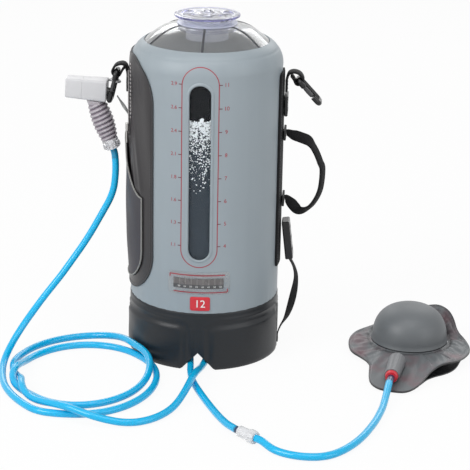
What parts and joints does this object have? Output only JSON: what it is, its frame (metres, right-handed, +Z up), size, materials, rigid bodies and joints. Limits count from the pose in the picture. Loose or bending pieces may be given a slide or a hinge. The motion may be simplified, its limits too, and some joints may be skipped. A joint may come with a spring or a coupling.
{
  "type": "camp shower",
  "caption": "Pressurised camp shower: a clear-topped water bag with a window, a hanging handset on a hose, side straps and a foot pump.",
  "frame": {"origin": "on the ground, at the centre of the footprint of bag, handset and pump, hoses left out", "axes": "+Z up, -Y the side with the window, +X from the bag towards the foot pump"},
  "size_m": [0.6322, 0.4671, 0.47],
  "materials": {
    "grey_tarpaulin": "smooth coated tarpaulin",
    "black_tarpaulin": "smooth coated tarpaulin",
    "clear_film": "clear welded film",
    "dark_weld": "weld tape",
    "clear_plastic": "clear moulded plastic",
    "seal_rubber": "soft seal",
    "pocket_fabric": "coated fabric",
    "webbing_black": "woven webbing",
    "hook_plastic": "moulded plastic",
    "handset_plastic": "moulded plastic",
    "grip_rubber": "soft ribbed grip",
    "hose_blue": "clear blue hose",
    "strip_grey": "printed strip",
    "badge_red": "red plastic",
    "pump_grey": "coated fabric",
    "spring_steel": "bright wire",
    "zip_nylon": "zip coil"
  },
  "bodies": {
    "bag": {"bag_shell": "grey_tarpaulin", "window_film": "clear_film", "window_frame": "grey_tarpaulin", "thermometer_patch": "clear_film", "thermometer_strip": "strip_grey", "capacity_badge": "badge_red", "base_skirt": "black_tarpaulin", "chamber_floor": "black_tarpaulin", "outlet_fitting": "clear_plastic", "inlet_fitting": "clear_plastic", "clear_dome": "clear_film", "dome_seams": "dark_weld", "valve_neck": "clear_plastic", "pocket_panel": "pocket_fabric", "pocket_pouch": "pocket_fabric", "pocket_zip": "zip_nylon", "left_hook_loop": "webbing_black", "right_hook_loop": "webbing_black", "hook_tether": "clear_film", "side_strap": "webbing_black", "ladder_lock": "hook_plastic", "handle_anchor_upper": "webbing_black", "handle_anchor_lower": "webbing_black", "side_buckle": "hook_plastic", "tail_strap": "webbing_black", "shower_hose_hang": "hose_blue", "shower_hose_loops": "hose_blue", "shower_hose_tail": "hose_blue", "pump_hose_near": "hose_blue", "hose_coupling": "clear_plastic", "pump_hose_far": "hose_blue", "pump_base_sheet": "black_tarpaulin", "pump_chamber": "black_tarpaulin", "intake_valve": "seal_rubber", "pump_flange": "pump_grey", "pump_socket": "pump_grey", "pump_dome": "pump_grey", "return_spring": "spring_steel"},
    "cap_seal": {"cap_gasket": "seal_rubber"},
    "cap": {"filler_cap": "clear_plastic"},
    "relief": {"relief_plug": "clear_plastic"},
    "left_hook": {"left_carabiner": "hook_plastic"},
    "left_gate": {"left_carabiner_gate": "hook_plastic"},
    "right_hook": {"right_carabiner": "hook_plastic"},
    "right_gate": {"right_carabiner_gate": "hook_plastic"},
    "handset": {"handset_body": "handset_plastic", "spray_collar": "handset_plastic", "spray_plate": "grip_rubber", "handset_grip": "grip_rubber"},
    "button": {"handset_button": "hook_plastic"},
    "grip_nut": {"hose_nut": "clear_plastic"},
    "slider": {"zip_slider": "spring_steel"},
    "handle": {"carry_handle": "webbing_black"},
    "coupling_ring": {"coupling_nut": "clear_plastic"},
    "pump_crown": {"pressure_disc": "handset_plastic"},
    "pump_ring": {"socket_collar": "badge_red"}
  },
  "joints": [
    {"name": "cap_lift", "type": "slide", "parent": "bag", "child": "cap_seal", "axis": [0, 0, 1], "range_m": [0, 0.06]},
    {"name": "cap_turn", "type": "hinge", "parent": "cap_seal", "child": "cap", "pos_m": [-0.0901, 0.02613, 0.46], "axis": [0, 0, 1], "range_deg": [0, 90]},
    {"name": "relief_plug_pull", "type": "slide", "parent": "cap", "child": "relief", "axis": [0, 0, 1], "range_m": [0, 0.004]},
    {"name": "left_hook_swing", "type": "hinge", "parent": "bag", "child": "left_hook", "pos_m": [-0.2096, 0.02613, 0.384], "axis": [0, 1, 0], "range_deg": [0, 25]},
    {"name": "handset_swing", "type": "hinge", "parent": "bag", "child": "handset", "pos_m": [-0.2096, 0.02613, 0.384], "axis": [0, 1, 0], "range_deg": [0, 25]},
    {"name": "left_gate_press", "type": "hinge", "parent": "left_hook", "child": "left_gate", "pos_m": [-0.21645, 0.01433, 0.35634], "axis": [-0.9707, 0, 0.2402], "range_deg": [0, 25], "stiffness_Nm_per_rad": 0.02},
    {"name": "right_hook_swing", "type": "hinge", "parent": "bag", "child": "right_hook", "pos_m": [0.0324, 0.02613, 0.38], "axis": [0, 1, 0], "range_deg": [-30, 43]},
    {"name": "right_gate_press", "type": "hinge", "parent": "right_hook", "child": "right_gate", "pos_m": [0.05183, 0.01433, 0.35916], "axis": [-0.7314, 0, -0.682], "range_deg": [0, 25], "stiffness_Nm_per_rad": 0.02},
    {"name": "handset_button_press", "type": "slide", "parent": "handset", "child": "button", "axis": [-0.9981, 0, 0.061], "range_m": [0, 0.0028], "stiffness_N_per_m": 400},
    {"name": "hose_nut_turn", "type": "hinge", "parent": "handset", "child": "grip_nut", "pos_m": [-0.2206, 0.02613, 0.2895], "axis": [0.3254, 0, -0.9456], "continuous": true},
    {"name": "zip_slide", "type": "slide", "parent": "bag", "child": "slider", "axis": [0, 0, 1], "range_m": [0, 0.07]},
    {"name": "handle_swing", "type": "hinge", "parent": "bag", "child": "handle", "pos_m": [0.0185, 0.02613, 0.26], "axis": [0, 0, 1], "range_deg": [-60, 60]},
    {"name": "coupling_nut_turn", "type": "hinge", "parent": "bag", "child": "coupling_ring", "pos_m": [-0.0146, -0.28437, 0.0088], "axis": [0.745, -0.667, 0], "continuous": true},
    {"name": "pump_press", "type": "slide", "parent": "bag", "child": "pump_crown", "axis": [0, 0, -1], "range_m": [0, 0.028], "stiffness_N_per_m": 1500, "deforming": ["pump_dome", "return_spring"]},
    {"name": "socket_collar_turn", "type": "hinge", "parent": "bag", "child": "pump_ring", "pos_m": [0.16916, -0.10511, 0.0154], "axis": [-0.1801, -0.9813, -0.0672], "continuous": true}
  ],
  "couplings": [
    {"joint": "handset_swing", "follows": "left_hook_swing", "ratio": 1}
  ]
}
